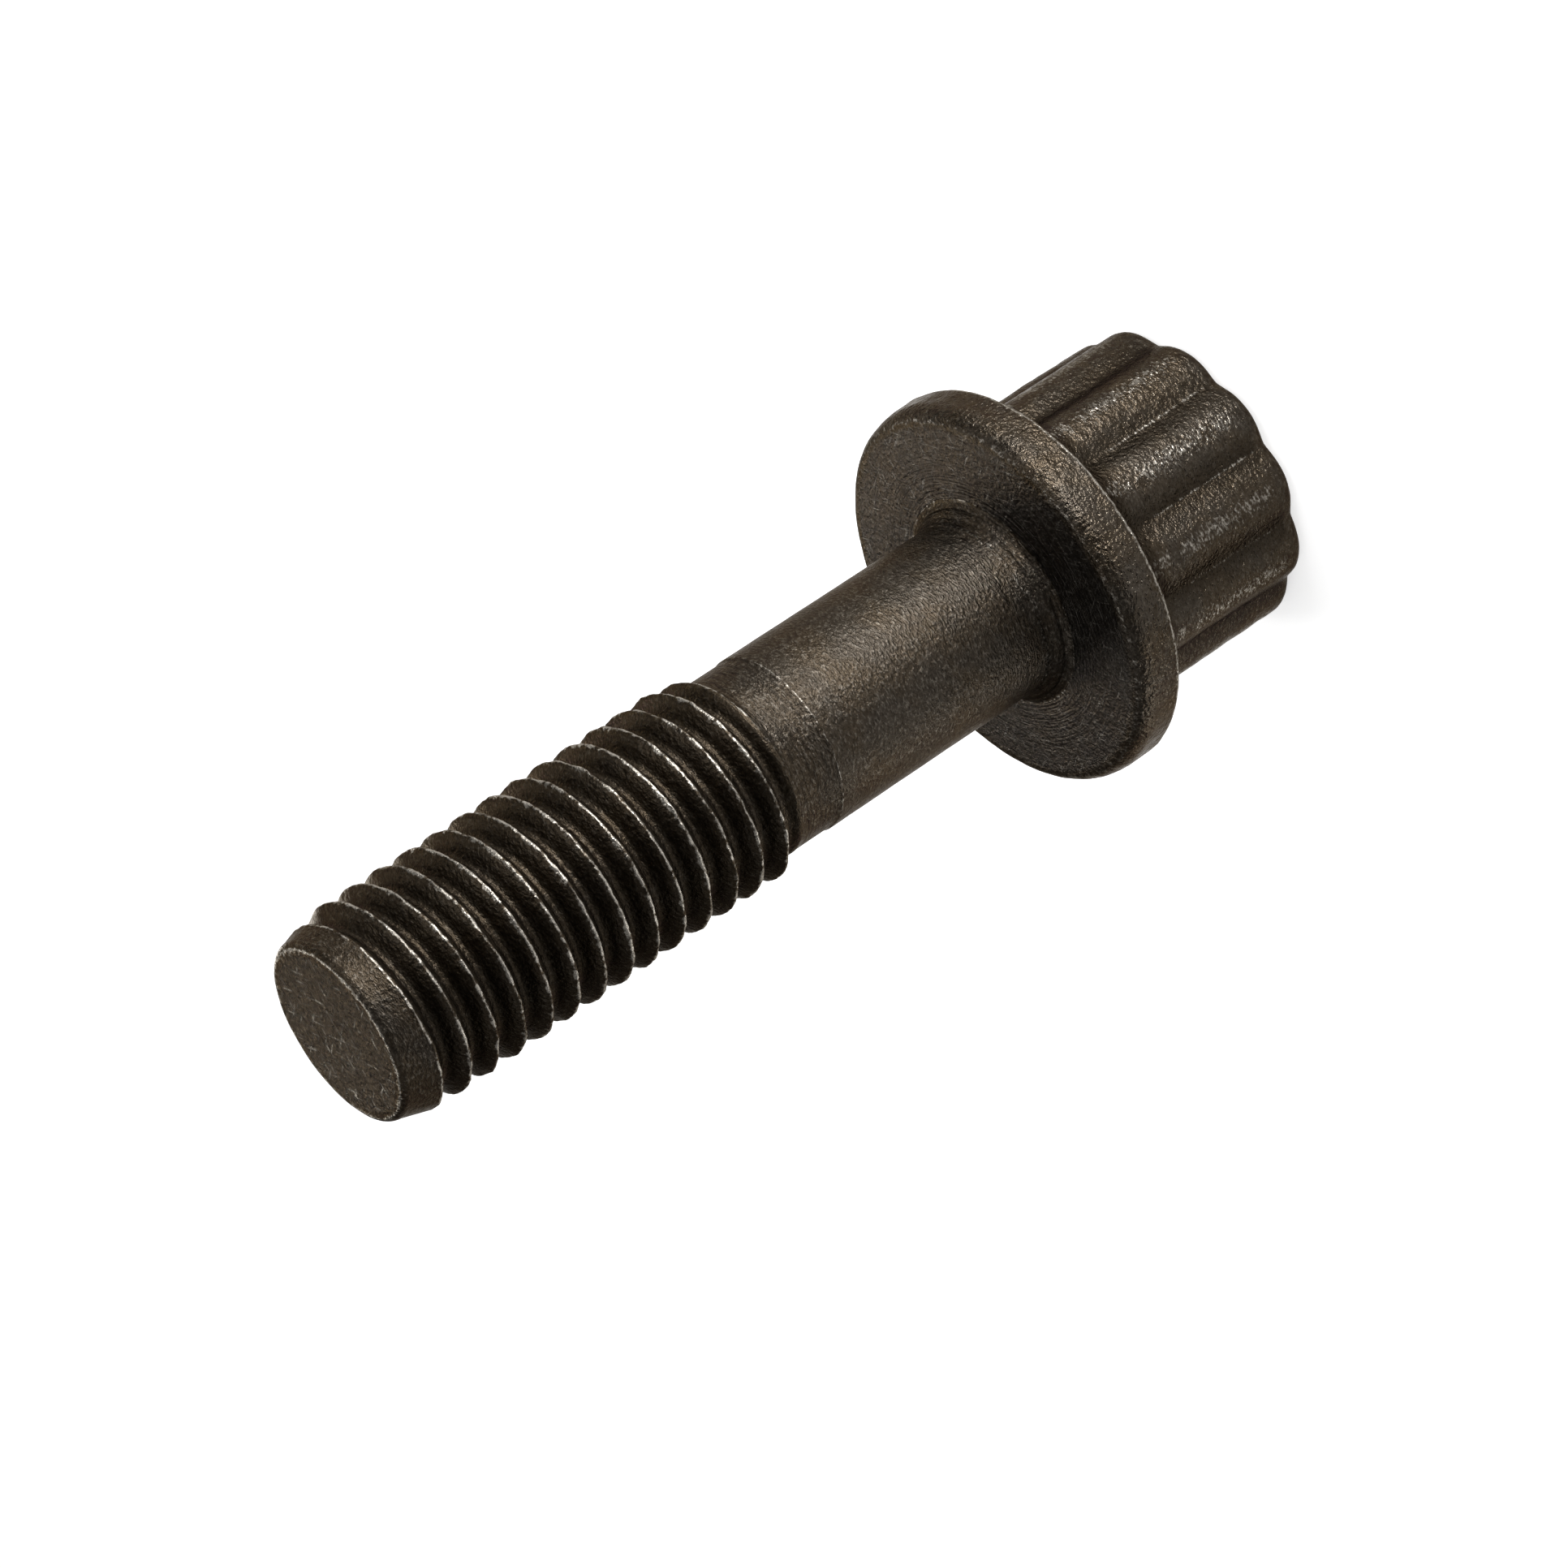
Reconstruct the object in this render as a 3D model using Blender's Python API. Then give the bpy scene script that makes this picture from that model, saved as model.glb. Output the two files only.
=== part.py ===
"""Twelve-point flange bolt, M10 x 1.5, standing on its head.

The bolt is one piece of steel: a forged head with twelve rounded points, a round flange with a turned
bearing face, a reduced shank, and a rolled right-hand thread that starts at a bevelled tip.
The origin is the centre of the head's flat end, and +Z runs up the bolt's axis to the tip.
Lengths below are in millimetres, and become metres where the mesh's points are made.
"""

from math import atan2, ceil, cos, pi, radians, sin, sqrt, tan

import bmesh
import bpy

MM = 0.001

# Driving dimensions of the twelve-point part of the head
POINTS = 12
ACROSS_FLATS = 13.75
POINT_RADIUS = 2.5
VALLEY_RADIUS = 0.5
POINTS_HEIGHT = 10.15
END_ROUNDING = 0.8
FOOT_HEIGHT = 2.2
FOOT_WIDTH = 1.3

# Driving dimensions of the flange
FLANGE_OVERHANG = 2.05
FLANGE_BACK_SLOPE = radians(12)
RIM_BACK_ROUNDING = 0.35
RIM_WIDTH = 1.1
RIM_FRONT_DEPTH = 1.0
RIM_FRONT_INSET = 0.65

# Driving dimensions of the shank
PLAIN_LENGTH = 13.3
SHANK_DIAMETER = 8.8
FILLET_LENGTH = 1.6
FILLET_HEIGHT = 0.9
NECK_LENGTH = 2.1
NECK_DEPTH = 0.07
NECK_STEP_LENGTH = 0.15

# Driving dimensions of the thread
THREAD_DIAMETER = 9.85
THREAD_PITCH = 1.5
FLANK_ANGLE = radians(60)
CREST_WIDTH = 0.16
ROOT_WIDTH = 0.33
THREADED_LENGTH = 22.8
RUNOUT_LENGTH = 1.2
GROOVE_FADE_TURNS = 0.3
THREAD_START_ANGLE = radians(112.5)

# Driving dimensions of the tip
TIP_ROUNDING_LENGTH = 0.4
TIP_ROUNDING_HEIGHT = 0.35
LEAD_LENGTH = 1.65
LEAD_SLOPE = radians(17)
PLAIN_LEAD = 0.1

# How finely curves are divided
SIDES_PER_POINT = 8
ARC_STEPS = 4
FOOT_STEPS = 5
RIM_BACK_STEPS = 2
FILLET_STEPS = 5

# Sizes that follow from the driving dimensions
HEAD_SIDES = POINTS * SIDES_PER_POINT
SHANK_SIDES = HEAD_SIDES // 2
FLAT_TURN = 2 * pi / POINTS
POINTS_REACH = (ACROSS_FLATS / 2 - POINT_RADIUS) / cos(FLAT_TURN) + POINT_RADIUS
FLANGE_RADIUS = POINTS_REACH + FLANGE_OVERHANG
FLANGE_THICKNESS = RIM_BACK_ROUNDING + RIM_WIDTH + RIM_FRONT_DEPTH
BEARING_Z = POINTS_HEIGHT + FLANGE_THICKNESS
NECK_Z = BEARING_Z + PLAIN_LENGTH
THREAD_Z = NECK_Z + NECK_LENGTH
TIP_Z = THREAD_Z + THREADED_LENGTH
SHANK_RADIUS = SHANK_DIAMETER / 2
NECK_RADIUS = SHANK_RADIUS - NECK_DEPTH
FLANK_LENGTH = (THREAD_PITCH - CREST_WIDTH - ROOT_WIDTH) / 2
CREST_RADIUS = THREAD_DIAMETER / 2
ROOT_RADIUS = CREST_RADIUS - FLANK_LENGTH / tan(FLANK_ANGLE / 2)
LEAD_START_RADIUS = CREST_RADIUS - LEAD_LENGTH * tan(LEAD_SLOPE)
TIP_FACE_RADIUS = LEAD_START_RADIUS - TIP_ROUNDING_HEIGHT


def clear_scene():
    for obj in list(bpy.data.objects):
        bpy.data.objects.remove(obj, do_unlink=True)


def smooth_step(value):
    value = min(max(value, 0.0), 1.0)
    return value * value * (3 - 2 * value)


def quarter_arc(start, end, steps, leaves_along_z):
    """Points of a quarter ellipse from start to end, both (radius, z), without the start."""
    points = []
    for step in range(1, steps + 1):
        turn = radians(90) * step / steps
        fast = sin(turn)
        slow = 1 - cos(turn)
        radial, axial = (slow, fast) if leaves_along_z else (fast, slow)
        radius = start[0] + (end[0] - start[0]) * radial
        z = start[1] + (end[1] - start[1]) * axial
        points.append((radius, z))
    return points


def lobe_radius(angle):
    """Radius of the head's outline: twelve points from two crossed hexagons, rounded in and out."""
    sector = 2 * pi / POINTS
    from_point = abs((angle + sector / 2) % sector - sector / 2)
    from_valley = sector / 2 - from_point
    flat_distance = ACROSS_FLATS / 2

    point_centre = POINTS_REACH - POINT_RADIUS
    point_end = POINT_RADIUS * sin(FLAT_TURN)
    if from_point < atan2(point_end, point_centre + POINT_RADIUS * cos(FLAT_TURN)):
        half_chord = sqrt(POINT_RADIUS**2 - (point_centre * sin(from_point)) ** 2)
        return point_centre * cos(from_point) + half_chord

    valley_turn = FLAT_TURN - sector / 2
    valley_centre = (flat_distance + VALLEY_RADIUS) / cos(valley_turn)
    valley_end = VALLEY_RADIUS * sin(valley_turn)
    if from_valley < atan2(valley_end, valley_centre - VALLEY_RADIUS * cos(valley_turn)):
        half_chord = sqrt(VALLEY_RADIUS**2 - (valley_centre * sin(from_valley)) ** 2)
        return valley_centre * cos(from_valley) - half_chord
    return flat_distance / cos(FLAT_TURN - from_point)


def point_at(bm, radius, angle, z):
    return bm.verts.new((radius * cos(angle) * MM, radius * sin(angle) * MM, z * MM))


def round_ring(bm, radius, z, sides, start_angle=0.0):
    step = 2 * pi / sides
    return [point_at(bm, radius, start_angle + i * step, z) for i in range(sides)]


def lobed_ring(bm, z, inset=0.0, outer_radius=0.0, blend=0.0):
    """A ring on the head's outline, moved in by inset, or part of the way out to a circle."""
    ring = []
    for i in range(HEAD_SIDES):
        angle = 2 * pi * i / HEAD_SIDES
        radius = lobe_radius(angle) - inset
        ring.append(point_at(bm, radius + (outer_radius - radius) * blend, angle, z))
    return ring


def join_rings(bm, lower, upper):
    for i in range(len(lower)):
        j = (i + 1) % len(lower)
        bm.faces.new((lower[i], lower[j], upper[j], upper[i]))


def join_stack(bm, rings):
    for lower, upper in zip(rings, rings[1:]):
        join_rings(bm, lower, upper)


def join_to_half(bm, wide, narrow, shift):
    """Joins a ring to one with half as many points, which starts shift steps round the wide one."""
    for i in range(len(narrow)):
        first = [wide[(2 * i + shift + k) % len(wide)] for k in range(3)]
        bm.faces.new((*first, narrow[(i + 1) % len(narrow)], narrow[i]))


def flange_back_z(radius):
    """Height of the flange's sloping back face at a radius."""
    edge_radius = FLANGE_RADIUS - RIM_BACK_ROUNDING
    return POINTS_HEIGHT - (edge_radius - radius) * tan(FLANGE_BACK_SLOPE)


def build_head(bm):
    """Flat end, rounded end edge, twelve-point sides and the foot that flares into the flange."""
    rings = []
    for step in range(ARC_STEPS + 1):
        turn = radians(90) * step / ARC_STEPS
        inset = END_ROUNDING * (1 - sin(turn))
        rings.append(lobed_ring(bm, END_ROUNDING * (1 - cos(turn)), inset))
    bm.faces.new(reversed(rings[0]))

    foot_edge = POINTS_REACH + min(FOOT_WIDTH, FLANGE_OVERHANG - RIM_BACK_ROUNDING)
    foot_z = flange_back_z(foot_edge)
    for step in range(FOOT_STEPS + 1):
        turn = radians(90) * step / FOOT_STEPS
        z = foot_z - FOOT_HEIGHT * (1 - sin(turn))
        rings.append(lobed_ring(bm, z, 0.0, foot_edge, 1 - cos(turn)))
    join_stack(bm, rings)
    return rings[-1]


def build_flange(bm, foot_ring):
    """Sloping back, rounded rim and the ring where the flat bearing face starts."""
    back_edge = (FLANGE_RADIUS - RIM_BACK_ROUNDING, POINTS_HEIGHT)
    rim_start = (FLANGE_RADIUS, POINTS_HEIGHT + RIM_BACK_ROUNDING)
    rim_end = (FLANGE_RADIUS, BEARING_Z - RIM_FRONT_DEPTH)
    bearing_edge = (FLANGE_RADIUS - RIM_FRONT_INSET, BEARING_Z)

    outline = [back_edge]
    outline += quarter_arc(back_edge, rim_start, RIM_BACK_STEPS, False)
    outline += [rim_end]
    outline += quarter_arc(rim_end, bearing_edge, ARC_STEPS, True)
    rings = [foot_ring] + [round_ring(bm, r, z, HEAD_SIDES) for r, z in outline]
    join_stack(bm, rings)
    return rings[-1]


def build_shank(bm, bearing_ring):
    """Bearing face, under-head fillet, reduced shank and the slightly smaller neck."""
    fillet_start = (SHANK_RADIUS + FILLET_HEIGHT, BEARING_Z)
    fillet_end = (SHANK_RADIUS, BEARING_Z + FILLET_LENGTH)
    outline = [fillet_start]
    outline += quarter_arc(fillet_start, fillet_end, FILLET_STEPS, False)
    outline += [(SHANK_RADIUS, NECK_Z), (NECK_RADIUS, NECK_Z + NECK_STEP_LENGTH)]
    rings = [round_ring(bm, r, z, SHANK_SIDES, THREAD_START_ANGLE) for r, z in outline]
    shift = round(THREAD_START_ANGLE / (2 * pi / HEAD_SIDES))
    join_to_half(bm, bearing_ring, rings[0], shift)
    join_stack(bm, rings)
    return rings[-1]


def thread_radius(is_crest, from_tip, turns_from_start):
    """Radius of a point of the thread, which fades in at the tip and runs out at the neck."""
    lead = LEAD_START_RADIUS + (from_tip - TIP_ROUNDING_LENGTH) * tan(LEAD_SLOPE)
    crest = min(CREST_RADIUS, lead)
    root = min(ROOT_RADIUS, crest)
    depth = smooth_step(turns_from_start / GROOVE_FADE_TURNS)
    full = crest if is_crest else crest + (root - crest) * depth
    kept = smooth_step((THREADED_LENGTH - from_tip) / RUNOUT_LENGTH)
    return NECK_RADIUS + (full - NECK_RADIUS) * kept


def thread_columns(bm):
    """The thread as columns of points, each a step round the axis and a step up the helix.

    A column has four points to a turn. The first column goes on for one more turn, because it is also
    the column after the last. Where the thread has run out, the points are pressed together along the
    neck, so that the last turn ends before the neck does.
    """
    thread_start = TIP_ROUNDING_LENGTH + PLAIN_LEAD
    turns = ceil((THREADED_LENGTH - thread_start) / THREAD_PITCH)
    reach = thread_start + THREAD_PITCH * (turns + 1)
    squeeze = (NECK_LENGTH - NECK_STEP_LENGTH) / (reach + THREAD_PITCH - THREADED_LENGTH)
    shape = (
        (0.0, True),
        (FLANK_LENGTH, False),
        (FLANK_LENGTH + ROOT_WIDTH, False),
        (THREAD_PITCH - CREST_WIDTH, True),
    )
    columns = []
    for i in range(SHANK_SIDES):
        share = i / SHANK_SIDES
        rounds = turns + 1 if i == 0 else turns
        column = []
        for k in range(rounds * len(shape) + 1):
            turn, corner = divmod(k, len(shape))
            offset, is_crest = shape[corner]
            from_tip = reach - THREAD_PITCH * (turn + share) - offset
            radius = thread_radius(is_crest, from_tip, turns - turn - share)
            past = max(from_tip - THREADED_LENGTH, 0.0)
            z = TIP_Z - from_tip + past * (1 - squeeze)
            column.append(point_at(bm, radius, THREAD_START_ANGLE + 2 * pi * share, z))
        columns.append(column)
    return columns, len(shape)


def build_thread(bm, neck_ring):
    """Joins the columns into the helix and closes the seam between its first turn and its last."""
    columns, per_turn = thread_columns(bm)
    last = len(columns) - 1
    for i, column in enumerate(columns):
        following = columns[0][per_turn:] if i == last else columns[i + 1]
        for k in range(len(columns[last]) - 1):
            bm.faces.new((column[k], following[k], following[k + 1], column[k + 1]))

    for i in range(last):
        bm.faces.new((neck_ring[i], neck_ring[i + 1], columns[i + 1][0], columns[i][0]))
    seam = columns[0][: per_turn + 1]
    bm.faces.new((neck_ring[last], neck_ring[0], *seam, columns[last][0]))
    return columns, per_turn


def build_tip(bm, columns, per_turn):
    """Bevelled lead above the thread's start, rounded edge and flat end face."""
    lead_start = (LEAD_START_RADIUS, TIP_Z - TIP_ROUNDING_LENGTH)
    face_edge = (TIP_FACE_RADIUS, TIP_Z)
    outline = [lead_start] + quarter_arc(lead_start, face_edge, ARC_STEPS, True)
    rings = [round_ring(bm, r, z, SHANK_SIDES, THREAD_START_ANGLE) for r, z in outline]

    lead_ring = rings[0]
    last = len(columns) - 1
    top = [column[len(columns[last]) - 1] for column in columns]
    for i in range(1, last):
        bm.faces.new((top[i], top[i + 1], lead_ring[i + 1], lead_ring[i]))
    seam = columns[0][-per_turn - 1 :]
    bm.faces.new((seam[0], top[1], lead_ring[1], lead_ring[0], *reversed(seam[1:])))
    bm.faces.new((top[last], seam[-1], lead_ring[0], lead_ring[last]))
    join_stack(bm, rings)
    bm.faces.new(rings[-1])


def dark_steel():
    """Oxide-blackened steel, brown-black and half rough."""
    material = bpy.data.materials.new("dark_steel")
    material.use_nodes = True
    shader = material.node_tree.nodes["Principled BSDF"]
    shader.inputs["Base Color"].default_value = (0.105, 0.088, 0.074, 1.0)
    shader.inputs["Metallic"].default_value = 0.85
    shader.inputs["Roughness"].default_value = 0.45
    material.diffuse_color = (0.105, 0.088, 0.074, 1.0)
    return material


def build_bolt():
    bm = bmesh.new()
    foot_ring = build_head(bm)
    bearing_ring = build_flange(bm, foot_ring)
    neck_ring = build_shank(bm, bearing_ring)
    columns, per_turn = build_thread(bm, neck_ring)
    build_tip(bm, columns, per_turn)
    bmesh.ops.recalc_face_normals(bm, faces=bm.faces)

    mesh = bpy.data.meshes.new("bolt")
    bm.to_mesh(mesh)
    bm.free()
    mesh.shade_smooth()
    mesh.set_sharp_from_angle(angle=radians(35))
    mesh.materials.append(dark_steel())
    bolt = bpy.data.objects.new("bolt", mesh)
    bpy.context.scene.collection.objects.link(bolt)
    return bolt


clear_scene()
build_bolt()
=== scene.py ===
"""Looks of the twelve-point flange bolt.

One fine mesh stands for the bolt: the same form as the solid, with rounded thread crests and roots,
deeper valleys along the head, the forging's soft unevenness and the nicks of a used thread. Its finish is
one procedural material of blackened steel. The camera stands where the photograph was taken from.
Lengths are in millimetres unless a name says otherwise, and +Z runs up the bolt to its tip.
"""

from math import atan2, ceil, cos, pi, radians, sin, sqrt, tan
from types import SimpleNamespace

import bpy
from mathutils import Matrix, Quaternion, Vector, noise


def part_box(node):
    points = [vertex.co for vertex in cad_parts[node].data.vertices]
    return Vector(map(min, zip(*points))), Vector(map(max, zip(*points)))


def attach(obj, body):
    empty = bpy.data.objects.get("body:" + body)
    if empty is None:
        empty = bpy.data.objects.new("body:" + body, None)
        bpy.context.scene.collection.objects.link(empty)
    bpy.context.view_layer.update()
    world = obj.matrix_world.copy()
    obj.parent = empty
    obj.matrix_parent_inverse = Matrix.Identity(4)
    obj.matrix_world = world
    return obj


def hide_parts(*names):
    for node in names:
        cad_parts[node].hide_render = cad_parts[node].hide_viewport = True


MM = 0.001

# Head
POINTS = 12
ACROSS_FLATS = 13.75
POINT_RADIUS = 2.5
VALLEY_RADIUS = 0.5
VALLEY_DRAFT = 0.14
VALLEY_TURN = radians(10)
END_ROUNDING = 0.8
FOOT_HEIGHT = 2.2
FOOT_WIDTH = 1.3
FLASH_RIDGE = 0.03

# Flange
FLANGE_BACK_SLOPE = radians(12)
FLANGE_THICKNESS = 2.45
RIM_BACK_ROUNDING = 0.35
RIM_FRONT_DEPTH = 1.0
RIM_FRONT_INSET = 0.65

# Shank and neck
PLAIN_LENGTH = 13.3
SHANK_RADIUS = 4.4
FILLET_LENGTH = 1.6
FILLET_HEIGHT = 0.9
NECK_LENGTH = 2.1
NECK_RADIUS = 4.33
NECK_STEP_LENGTH = 0.15

# Thread
CREST_RADIUS = 4.925
THREAD_PITCH = 1.5
FLANK_ANGLE = radians(60)
CREST_WIDTH = 0.16
ROOT_WIDTH = 0.33
THREAD_ROUNDING = 0.05
THREADED_LENGTH = 22.8
RUNOUT_LENGTH = 1.2
GROOVE_FADE_TURNS = 0.3
THREAD_START_ANGLE = radians(112.5)

# Tip
TIP_ROUNDING_LENGTH = 0.4
TIP_ROUNDING_HEIGHT = 0.35
LEAD_LENGTH = 1.65
LEAD_SLOPE = radians(17)
PLAIN_LEAD = 0.1
TIP_CENTRE_RADIUS = 0.25

# Unevenness of the surface. A scale is in waves to a millimetre, and TURNING_CHANGE in waves to a ring
FORGE_DEPTH = 0.035
FORGE_SCALE = 0.9
FINE_FORGE_SCALE = 2.2
TURNING_DEPTH = 0.06
TURNING_SPREAD = 3.0
TURNING_CHANGE = 0.37
CREST_NICKS = 0.045
NICK_SCALE = 1.3
FINE_NICK_SCALE = 3.1
CREST_WAVE = 0.09
WAVE_SCALE = 0.8
FINE_NICK_SHARE = 0.7
RIDGE_SMOOTHNESS = 0.7

# How far each edge is rubbed towards bright steel, and how much darker the thread gets towards its roots,
# 0 to 1. On the head's points and up the fillet the rubbing is also a painted highlight
# The rubbing on the head's points is also a painted highlight along them
POINT_WEAR_AND_HIGHLIGHT = 0.46
POINT_WEAR_AND_HIGHLIGHT_TURN = radians(9)
RIDGE_WEAR = 0.5
RIM_BACK_WEAR = 0.7
RIM_FRONT_WEAR = 0.4
FILLET_START_WEAR = 0.5
# A painted highlight band up the fillet, drawn as rubbed steel
FILLET_PAINTED_HIGHLIGHT = 0.36
SHOULDER_WEAR = 0.55
LEAD_WEAR = 0.2
TIP_EDGE_WEAR = 0.75
GROOVE_DARKENING = 0.35

# Shares of the head's side over which the flash lines fade at its end and foot, and the valleys deepen
RIDGE_FADE_AT_END = 1 / 12
RIDGE_FADE_AT_FOOT = 1 / 8
DRAFT_REACH = 0.625

# Fineness of the mesh
SIDES = 240
END_STEPS = 8
SIDE_STEPS = 30
FOOT_STEPS = 14
# Steps of the foot over which its painted shade comes in
FOOT_SHADE_STEPS = 3
BACK_STEPS = 4
RIM_BACK_STEPS = 5
RIM_STEPS = 8
RIM_FRONT_STEPS = 9
BEARING_STEPS = 16
FILLET_STEPS = 40
SHANK_STEPS = 22
TIP_EDGE_STEPS = 8
TIP_FACE_STEPS = 12

# Colours of the finish
WARM_OXIDE = (0.039, 0.0300, 0.0208, 1)
COOL_OXIDE = (0.036, 0.0300, 0.0236, 1)
THREAD_OXIDE = (0.033, 0.0245, 0.0155, 1)
SCUFFED_OXIDE = (0.0365, 0.034, 0.0335, 1)
PIT_OXIDE = (0.013, 0.0095, 0.0062, 1)
PALE_GRAIN = (0.12, 0.106, 0.088, 1)
DARK_GRAIN = (0.015, 0.0112, 0.0075, 1)
TURNED_LINES = (0.011, 0.009, 0.007, 1)
# Painted shade in the head's valleys and corners, and the thread's darkening towards its roots
SHADE_AND_GROOVE_DARK = (0.015, 0.0113, 0.0075, 1)
SCRATCH = (0.14, 0.13, 0.115, 1)
# Rubbed bright steel, also used for the painted highlights
RUBBED_STEEL_AND_HIGHLIGHT = (0.26, 0.24, 0.21, 1)
SHEEN_TINT = (0.42, 0.385, 0.34, 1)
METAL_SHARE = 0.9

# How strongly each of them covers what is under it
THREAD_OXIDE_SHARE = 0.6
PIT_SHARE = 0.25
FORGED_PIT_SHARE = 0.1
PALE_GRAIN_SHARE = 0.5
DARK_GRAIN_SHARE = 0.45
TURNED_LINES_SHARE = 0.6
SHADE_AND_GROOVE_DARK_SHARE = 0.8
SCUFFED_SHARE = 0.8

# Bands of a texture's value over which a look comes in. Falling bands come in at the low values
TINT_BAND = (0.38, 0.62)
PIT_BAND = (0.62, 0.35)
PALE_GRAIN_BAND = (0.52, 0.66)
DARK_GRAIN_BAND = (0.48, 0.36)
RING_BAND = (0.52, 0.62)
STREAK_BAND = (0.63, 0.70)
BREAK_BAND = (0.4, 0.6)
RUBBED_BAND = (0.95, 1.4)
ROUGHNESS_BAND = (0.3, 0.7)

# Roughness of the finish, and how much smoother some places are
ROUGHNESS_RANGE = (0.34, 0.44)
FORGED_GLOSS = 0.14
TURNED_GLOSS = 0.03
RUBBED_GLOSS = 0.10

# Bumps of the finish, in shares of the depth
BUMP_DEPTH = 0.05
GRAIN_BUMP = 1.9
FORGED_BUMP = 2.2
THREAD_BUMP = 1.2
TURNED_BUMP = 0.9
SCRATCH_BUMP = -0.3

# How many waves to a millimetre the textures have. The grain is denser along the bolt
NOISE_DETAIL = 2.0
COARSE_NOISE = 0.55
HARD_NOISE = 0.65
GRAIN_SCALE = 4.6
GRAIN_DENSITY = (1.0, 1.0, 1.8)
PEEL_SCALE = 4.5
PIT_SCALE = 2.3
TINT_SCALE = 0.45
RING_SCALE = 8.0
RING_TURN_SCALE = 0.35
WANDER_SCALE = 3.0
BREAK_SCALE = 1.3
STREAK_DENSITY = (0.9, 9.0, 0.9)
STREAK_TURNS = (20, 75, 130)

# Thread crests are rubbed bright within CREST_RUB of their middle, give or take half of CREST_WANDER, and
# less so where the line is broken. The grain breaks up every rubbed place
CREST_RUB = 0.17
CREST_FULL_RUB = 0.03
CREST_WANDER = 0.16
MOST_RUB = 0.9
BROKEN_RUB = 0.5
GRAIN_RUB = 1.2

# Camera, as fitted to the photograph
CAMERA_AIM = Vector((-1.63, 0.22, 26.63))
CAMERA_DISTANCE = 232.26
CAMERA_HEADING = radians(82.26)
CAMERA_DIP = radians(27.56)
CAMERA_ROLL = radians(-123.67)
CAMERA_LENS = 121.12
SENSOR = 36.0
CLIP_START_M = 0.01

# Floor and world. The lift is the white that the floor adds for the camera and for reflections
FLOOR_HALF_M = 1.5
FLOOR_PAINT = (0.9, 0.9, 0.9, 1)
FLOOR_LIFT = 0.62
WORLD_GREY = (0.16, 0.16, 0.16, 1)

# Sizes of the lamps, across and tall
PANEL = (200, 200)
LOW_BOX = (30, 16)
LOW_STRIP = (20, 6)

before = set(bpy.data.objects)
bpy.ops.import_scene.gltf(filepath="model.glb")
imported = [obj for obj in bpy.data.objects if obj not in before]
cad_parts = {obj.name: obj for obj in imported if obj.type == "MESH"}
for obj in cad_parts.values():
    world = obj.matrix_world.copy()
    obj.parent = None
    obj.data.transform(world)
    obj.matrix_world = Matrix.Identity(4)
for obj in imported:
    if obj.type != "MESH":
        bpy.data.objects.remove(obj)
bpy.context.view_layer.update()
node_low, node_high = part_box("bolt")

# Sizes that follow from the frame and from the values above
TIP_Z = node_high.z / MM
FLANGE_RADIUS = node_high.x / MM
THREAD_Z = TIP_Z - THREADED_LENGTH
NECK_Z = THREAD_Z - NECK_LENGTH
BEARING_Z = NECK_Z - PLAIN_LENGTH
FLANGE_BACK_Z = BEARING_Z - FLANGE_THICKNESS
SECTOR = 2 * pi / POINTS
POINTS_REACH = (ACROSS_FLATS / 2 - POINT_RADIUS) / cos(SECTOR) + POINT_RADIUS
FOOT_EDGE = POINTS_REACH + FOOT_WIDTH
FOOT_Z = FLANGE_BACK_Z - (FLANGE_RADIUS - RIM_BACK_ROUNDING - FOOT_EDGE) * tan(FLANGE_BACK_SLOPE)
FLANK_LENGTH = (THREAD_PITCH - CREST_WIDTH - ROOT_WIDTH) / 2
ROOT_RADIUS = CREST_RADIUS - FLANK_LENGTH / tan(FLANK_ANGLE / 2)
LEAD_START_RADIUS = CREST_RADIUS - LEAD_LENGTH * tan(LEAD_SLOPE)
TIP_FACE_RADIUS = LEAD_START_RADIUS - TIP_ROUNDING_HEIGHT
THREAD_START = TIP_ROUNDING_LENGTH + PLAIN_LEAD
TURNS = ceil((THREADED_LENGTH - THREAD_START) / THREAD_PITCH)
HELIX_REACH = THREAD_START + THREAD_PITCH * (TURNS + 1)

# Corners of the turned outline, each (radius, z)
BACK_EDGE = (FLANGE_RADIUS - RIM_BACK_ROUNDING, FLANGE_BACK_Z)
RIM_START = (FLANGE_RADIUS, FLANGE_BACK_Z + RIM_BACK_ROUNDING)
RIM_END = (FLANGE_RADIUS, BEARING_Z - RIM_FRONT_DEPTH)
BEARING_EDGE = (FLANGE_RADIUS - RIM_FRONT_INSET, BEARING_Z)
FILLET_START = (SHANK_RADIUS + FILLET_HEIGHT, BEARING_Z)
FILLET_END = (SHANK_RADIUS, BEARING_Z + FILLET_LENGTH)
SHOULDER_START = (SHANK_RADIUS, NECK_Z - NECK_STEP_LENGTH)
SHOULDER = (SHANK_RADIUS, NECK_Z)
NECK_START = (NECK_RADIUS, NECK_Z + NECK_STEP_LENGTH)
LEAD_START = (LEAD_START_RADIUS, TIP_Z - TIP_ROUNDING_LENGTH)
TIP_EDGE = (TIP_FACE_RADIUS, TIP_Z)

# How each place is finished, with where shade and highlights are painted, as the mesh tells the material
MASKS = ("worn", "deep", "turned", "forged", "threaded", "scuffed")


def smooth_step(value):
    value = min(max(value, 0.0), 1.0)
    return value * value * (3 - 2 * value)


def bell(distance, width):
    """1 at no distance, falling softly to 0 over width."""
    return 1 - smooth_step(abs(distance) / width)


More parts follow.
